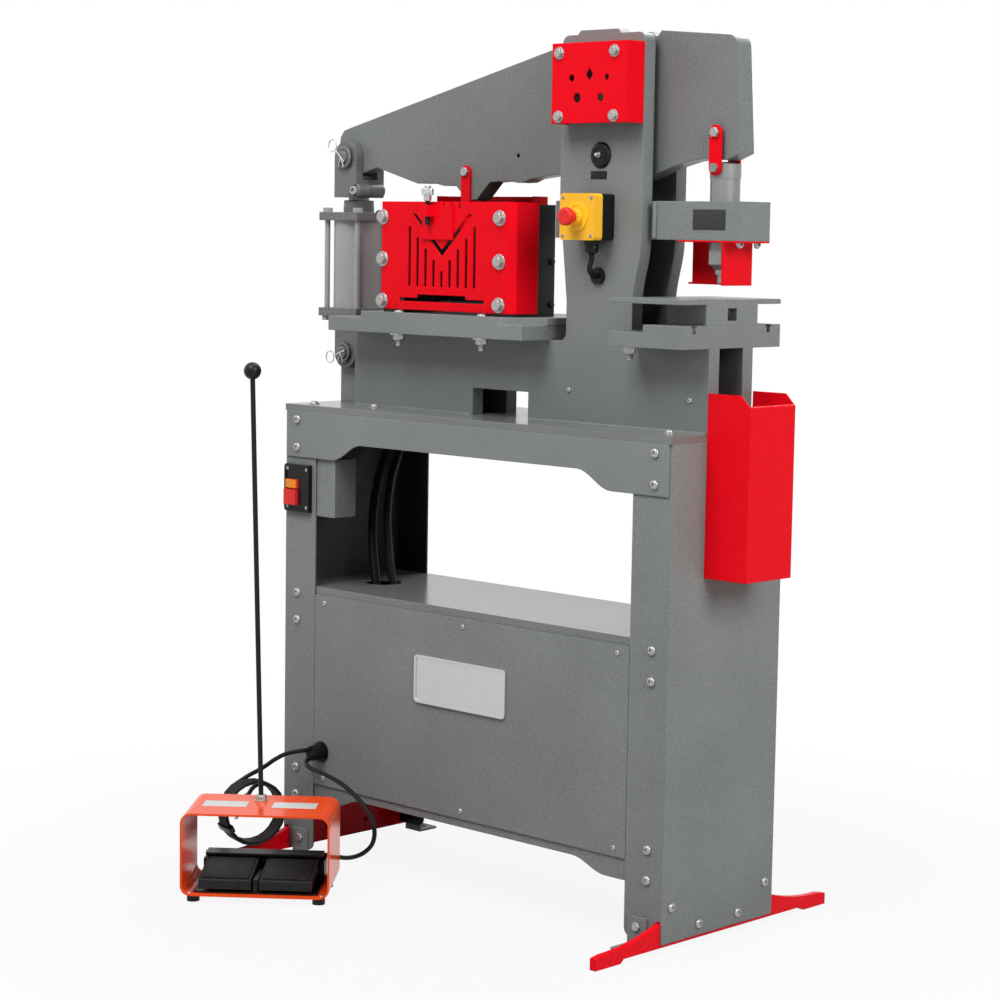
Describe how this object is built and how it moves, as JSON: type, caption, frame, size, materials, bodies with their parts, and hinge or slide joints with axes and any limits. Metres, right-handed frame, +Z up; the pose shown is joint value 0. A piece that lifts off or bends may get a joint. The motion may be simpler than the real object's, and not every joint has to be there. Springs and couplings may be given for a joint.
{
  "type": "hydraulic ironworker",
  "caption": "Floor-standing hydraulic ironworker: a rocking beam between side plates drives a punch at one end and a guarded shear at the other; with cylinder, stand, bin and pedal.",
  "frame": {"origin": "on the floor, in the middle of the four floor anchor holes", "axes": "+X along the table to the punch end, +Y from the front to the back, +Z up"},
  "size_m": [1.0229, 0.8116, 1.473],
  "materials": {
    "grey_paint": "dark grey hammertone enamel",
    "red_paint": "bright red enamel",
    "zinc": "zinc plated",
    "steel": "ground steel",
    "silver_paint": "light grey enamel",
    "dark_paint": "dark grey enamel",
    "badge": "satin",
    "black_paint": "black enamel",
    "black_rubber": "matt",
    "black_plastic": "matt",
    "black_steel": "black oxide",
    "yellow_plastic": "moulded",
    "red_plastic": "moulded",
    "orange_plastic": "moulded",
    "orange_paint": "orange enamel"
  },
  "bodies": {
    "machine": {"end_panels": "grey_paint", "feet": "red_paint", "anchor_brackets": "zinc", "table_plate": "grey_paint", "stand_rails": "grey_paint", "shelf": "grey_paint", "cabinet_panels": "grey_paint", "badge_plate": "badge", "machine_bolts": "zinc", "tool_bin": "red_paint", "oil_tank": "black_paint", "pump_motor": "black_paint", "hydraulic_hoses": "black_rubber", "front_side_plate": "grey_paint", "rear_side_plate": "grey_paint", "guide_block": "grey_paint", "bolster_plate": "grey_paint", "die_holder": "grey_paint", "die": "steel", "shear_bed": "grey_paint", "shear_housing": "dark_paint", "lower_blade": "steel", "shear_guards": "red_paint", "post_guard": "red_paint", "hinge_pins": "zinc", "grease_cap": "black_plastic", "switch_housings": "black_plastic", "estop_cover": "yellow_plastic", "estop_lead": "black_rubber", "switch_enclosure": "grey_paint", "cylinder_lug": "grey_paint", "stripper": "red_paint", "pedal_guard": "orange_paint", "pedal_base": "black_plastic", "carry_rod": "black_steel", "cord_gland": "black_rubber", "pedal_lead": "black_rubber", "power_lead": "black_rubber", "power_coil": "black_rubber", "power_plug": "black_rubber"},
    "motor_shaft": {"motor_shaft": "zinc"},
    "estop_button": {"estop_button": "red_plastic"},
    "start_button": {"start_button": "orange_plastic"},
    "stop_paddle": {"stop_paddle": "red_plastic"},
    "beam": {"beam": "grey_paint", "beam_bolts": "zinc"},
    "cylinder": {"cylinder_tube": "silver_paint", "cylinder_heads": "silver_paint", "tie_rods": "silver_paint"},
    "piston_rod": {"piston_rod": "steel", "rod_clevis": "silver_paint"},
    "ram": {"ram": "steel", "punch": "steel"},
    "ram_straps": {"ram_straps": "red_paint"},
    "blade_carrier": {"blade_carrier": "dark_paint", "carrier_straps": "red_paint"},
    "hold_down": {"hold_down": "red_paint"},
    "thumbscrew": {"thumbscrew": "steel"},
    "left_treadle": {"left_treadle": "black_plastic"},
    "right_treadle": {"right_treadle": "black_plastic"}
  },
  "joints": [
    {"name": "beam_pivot", "type": "hinge", "parent": "machine", "child": "beam", "pos_m": [0.217, 0, 1.27], "axis": [0, 1, 0], "range_deg": [0, 7]},
    {"name": "cylinder_swing", "type": "hinge", "parent": "machine", "child": "cylinder", "pos_m": [-0.424, 0, 0.918], "axis": [0, 1, 0], "range_deg": [0, 0.6]},
    {"name": "rod_slide", "type": "slide", "parent": "cylinder", "child": "piston_rod", "axis": [0, 0, 1], "range_m": [0, 0.0785]},
    {"name": "ram_slide", "type": "slide", "parent": "machine", "child": "ram", "axis": [0, 0, -1], "range_m": [0, 0.0266]},
    {"name": "ram_strap_tilt", "type": "hinge", "parent": "ram", "child": "ram_straps", "pos_m": [0.432, 0, 1.249], "axis": [0, 1, 0], "range_deg": [0, 3.1]},
    {"name": "carrier_slide", "type": "slide", "parent": "machine", "child": "blade_carrier", "axis": [0, 0, 1], "range_m": [0, 0.0426]},
    {"name": "hold_down_slide", "type": "slide", "parent": "machine", "child": "hold_down", "axis": [0, 0, 1], "range_m": [-0.015, 0.005]},
    {"name": "thumbscrew_turn", "type": "hinge", "parent": "hold_down", "child": "thumbscrew", "pos_m": [-0.122, -0.1198, 1.18], "axis": [0, 0, 1], "continuous": true},
    {"name": "estop_press", "type": "slide", "parent": "machine", "child": "estop_button", "axis": [0, 1, 0], "range_m": [0, 0.004], "stiffness_N_per_m": 800},
    {"name": "start_press", "type": "slide", "parent": "machine", "child": "start_button", "axis": [0, 1, 0], "range_m": [0, 0.003], "stiffness_N_per_m": 600},
    {"name": "stop_paddle_tilt", "type": "hinge", "parent": "machine", "child": "stop_paddle", "pos_m": [-0.433, -0.149, 0.671], "axis": [1, 0, 0], "range_deg": [0, 5], "stiffness_Nm_per_rad": 1},
    {"name": "left_treadle_tilt", "type": "hinge", "parent": "machine", "child": "left_treadle", "pos_m": [-0.28038, -0.34068, 0.046], "axis": [0.7547, 0.6561, 0], "range_deg": [0, 2.2], "stiffness_Nm_per_rad": 30},
    {"name": "right_treadle_tilt", "type": "hinge", "parent": "machine", "child": "right_treadle", "pos_m": [-0.28038, -0.34068, 0.046], "axis": [0.7547, 0.6561, 0], "range_deg": [0, 2.2], "stiffness_Nm_per_rad": 30},
    {"name": "motor_spin", "type": "hinge", "parent": "machine", "child": "motor_shaft", "pos_m": [0, 0, 0.4], "axis": [0, 0, 1], "continuous": true}
  ],
  "couplings": [
    {"joint": "cylinder_swing", "follows": "beam_pivot", "ratio": 0.083},
    {"joint": "rod_slide", "follows": "beam_pivot", "m_per_rad": 0.6395},
    {"joint": "ram_slide", "follows": "beam_pivot", "m_per_rad": 0.2161},
    {"joint": "ram_strap_tilt", "follows": "beam_pivot", "ratio": 0.43},
    {"joint": "carrier_slide", "follows": "beam_pivot", "m_per_rad": 0.3466}
  ]
}
